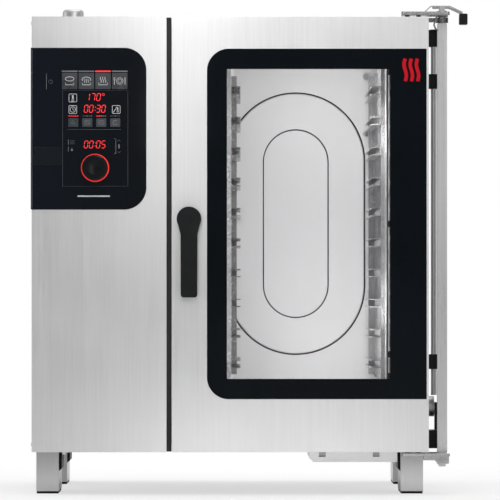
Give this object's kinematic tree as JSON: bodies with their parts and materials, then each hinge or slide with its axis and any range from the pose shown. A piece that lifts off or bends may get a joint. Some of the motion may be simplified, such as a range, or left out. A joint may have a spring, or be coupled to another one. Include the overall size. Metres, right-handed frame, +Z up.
{
  "type": "combi steamer oven",
  "caption": "Counter-top combi steamer with a glazed door that swings out and slides back along the side, tray racks, a round-dial control panel and short legs.",
  "frame": {"origin": "floor level, at the centre of the overall outline at rest", "axes": "+Z up, +Y from the door towards the rear, +X to the right as seen from the front"},
  "size_m": [0.97, 0.879, 1.089],
  "materials": {
    "steel_sheet": "brushed stainless sheet, vertical grain",
    "frame_steel": "satin stainless bar and plate",
    "cavity_steel": "bright stainless, welded",
    "polished_steel": "polished",
    "pipework": "plain stainless tube",
    "brass": "plain",
    "motor": "cast and ribbed",
    "panel_glass": "black, high gloss",
    "key_caps": "dark grey, satin gloss",
    "light_guide": "red light guide",
    "lamp": "translucent lamp cover",
    "window_glass": "clear with a black enamel border",
    "seal": "silicone",
    "black_plastic": "fine texture",
    "insulation": "mineral fibre",
    "board": "circuit board"
  },
  "bodies": {
    "casing": {"base_frame": "frame_steel", "left_side_panel": "steel_sheet", "right_side_panel": "steel_sheet", "rear_panel": "steel_sheet", "top_cover": "steel_sheet", "control_front_panel": "steel_sheet", "front_frame": "steel_sheet", "cavity_liner": "cavity_steel", "cavity_insulation": "insulation", "door_seals": "seal", "suction_panel": "cavity_steel", "fan_motor": "motor", "heating_element": "pipework", "steam_generator": "pipework", "drain_pipe": "pipework", "water_inlets": "brass", "vent_dome": "polished_steel", "legs": "frame_steel", "leg_feet": "black_plastic", "leg_bolts": "polished_steel", "latch_keeper": "frame_steel", "hinge_brackets": "frame_steel", "guide_rod": "frame_steel", "rod_clamps": "black_plastic", "control_bezel": "panel_glass", "dial_light_ring": "light_guide", "control_board": "board"},
    "swing_frame": {"swing_post": "frame_steel", "swing_arms": "frame_steel", "door_glides": "black_plastic"},
    "door": {"door_outer_shell": "steel_sheet", "door_glass": "window_glass", "door_inner_frame": "steel_sheet", "inner_glass": "window_glass", "inner_pane_hinges": "frame_steel", "door_channels": "frame_steel", "door_light_strip": "lamp"},
    "handle": {"door_handle": "black_plastic", "latch_spindle": "frame_steel"},
    "release": {"release_lever": "frame_steel", "release_grip": "black_plastic"},
    "left_rack_body": {"left_rack": "cavity_steel"},
    "right_rack_body": {"right_rack": "cavity_steel"},
    "fan": {"fan_wheel": "cavity_steel"},
    "tray": {"drip_tray": "frame_steel"},
    "roller": {"side_roller": "black_plastic"},
    "dial_plunger": {"dial_shaft": "black_plastic"},
    "dial": {"dial_knob": "panel_glass"},
    "flap": {"usb_flap": "key_caps"},
    "hot_air_key_cap": {"hot_air_key": "key_caps"},
    "combi_key_cap": {"combi_key": "key_caps"},
    "steam_key_cap": {"steam_key": "key_caps"},
    "regenerate_key_cap": {"regenerate_key": "key_caps"},
    "function_key_1_cap": {"function_key_1": "key_caps"},
    "function_key_2_cap": {"function_key_2": "key_caps"},
    "function_key_3_cap": {"function_key_3": "key_caps"},
    "function_key_4_cap": {"function_key_4": "key_caps"},
    "temperature_key_cap": {"temperature_key": "key_caps"},
    "time_key_cap": {"time_key": "key_caps"},
    "core_probe_key_cap": {"core_probe_key": "key_caps"}
  },
  "joints": [
    {"name": "door_swing", "type": "hinge", "parent": "casing", "child": "swing_frame", "pos_m": [0.428, -0.2965, 0.58], "axis": [0, 0, 1], "range_deg": [0, 90]},
    {"name": "door_slide", "type": "slide", "parent": "swing_frame", "child": "door", "axis": [1, 0, 0], "range_m": [0, 0.481]},
    {"name": "handle_turn", "type": "hinge", "parent": "door", "child": "handle", "pos_m": [-0.135, -0.4095, 0.61], "axis": [0, 1, 0], "range_deg": [0, 180]},
    {"name": "release_tip", "type": "hinge", "parent": "swing_frame", "child": "release", "pos_m": [0.428, -0.2965, 1.0798], "axis": [0, 1, 0], "range_deg": [0, 12]},
    {"name": "left_rack_lift", "type": "slide", "parent": "casing", "child": "left_rack_body", "axis": [0, 0, 1], "range_m": [0, 0.012]},
    {"name": "right_rack_lift", "type": "slide", "parent": "casing", "child": "right_rack_body", "axis": [0, 0, 1], "range_m": [0, 0.012]},
    {"name": "fan_spin", "type": "hinge", "parent": "casing", "child": "fan", "pos_m": [-0.108, -0.0095, 0.607], "axis": [1, 0, 0], "continuous": true},
    {"name": "drip_tray_slide", "type": "slide", "parent": "casing", "child": "tray", "axis": [0, -1, 0], "range_m": [0, 0.15]},
    {"name": "roller_spin", "type": "hinge", "parent": "casing", "child": "roller", "pos_m": [0.405, -0.2345, 0.193], "axis": [1, 0, 0], "continuous": true},
    {"name": "dial_push", "type": "slide", "parent": "casing", "child": "dial_plunger", "axis": [0, 1, 0], "range_m": [0, 0.0015]},
    {"name": "dial_turn", "type": "hinge", "parent": "dial_plunger", "child": "dial", "pos_m": [-0.3428, -0.4075, 0.7233], "axis": [0, 1, 0], "continuous": true},
    {"name": "usb_flap_open", "type": "hinge", "parent": "casing", "child": "flap", "pos_m": [-0.4779, -0.3948, 0.7495], "axis": [0, 0, -1], "range_deg": [0, 100]},
    {"name": "hot_air_key_press", "type": "slide", "parent": "casing", "child": "hot_air_key_cap", "axis": [0, 1, 0], "range_m": [0, 0.0008]},
    {"name": "combi_key_press", "type": "slide", "parent": "casing", "child": "combi_key_cap", "axis": [0, 1, 0], "range_m": [0, 0.0008]},
    {"name": "steam_key_press", "type": "slide", "parent": "casing", "child": "steam_key_cap", "axis": [0, 1, 0], "range_m": [0, 0.0008]},
    {"name": "regenerate_key_press", "type": "slide", "parent": "casing", "child": "regenerate_key_cap", "axis": [0, 1, 0], "range_m": [0, 0.0008]},
    {"name": "function_key_1_press", "type": "slide", "parent": "casing", "child": "function_key_1_cap", "axis": [0, 1, 0], "range_m": [0, 0.0008]},
    {"name": "function_key_2_press", "type": "slide", "parent": "casing", "child": "function_key_2_cap", "axis": [0, 1, 0], "range_m": [0, 0.0008]},
    {"name": "function_key_3_press", "type": "slide", "parent": "casing", "child": "function_key_3_cap", "axis": [0, 1, 0], "range_m": [0, 0.0008]},
    {"name": "function_key_4_press", "type": "slide", "parent": "casing", "child": "function_key_4_cap", "axis": [0, 1, 0], "range_m": [0, 0.0008]},
    {"name": "temperature_key_press", "type": "slide", "parent": "casing", "child": "temperature_key_cap", "axis": [0, 1, 0], "range_m": [0, 0.0008]},
    {"name": "time_key_press", "type": "slide", "parent": "casing", "child": "time_key_cap", "axis": [0, 1, 0], "range_m": [0, 0.0008]},
    {"name": "core_probe_key_press", "type": "slide", "parent": "casing", "child": "core_probe_key_cap", "axis": [0, 1, 0], "range_m": [0, 0.0008]}
  ],
  "couplings": [
    {"joint": "door_slide", "follows": "door_swing", "m_per_rad": 0.30558}
  ]
}
